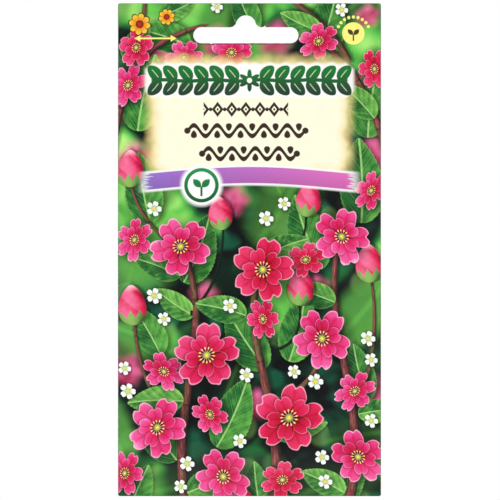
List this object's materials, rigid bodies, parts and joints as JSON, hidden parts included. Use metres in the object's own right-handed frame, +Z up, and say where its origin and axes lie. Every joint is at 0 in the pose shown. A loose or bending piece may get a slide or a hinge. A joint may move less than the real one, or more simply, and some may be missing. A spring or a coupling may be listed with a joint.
{
  "type": "seed packet",
  "caption": "Flat folded paper seed packet with a printed floral front, glued back flaps, a euro hang slot in its header and loose seeds sealed inside.",
  "frame": {"origin": "where the peg bears: the top of the hang slot's round crown, at mid thickness", "axes": "+Z up as the packet hangs, -Y out of the printed front, +X to the right as seen from the front"},
  "size_m": [0.08, 0.003, 0.15],
  "materials": {
    "printed_paper": "satin",
    "seed_coat": "gloss"
  },
  "bodies": {
    "root": {"packet": "printed_paper", "seed_1": "seed_coat", "seed_2": "seed_coat", "seed_3": "seed_coat", "seed_4": "seed_coat", "seed_5": "seed_coat"}
  },
  "joints": []
}
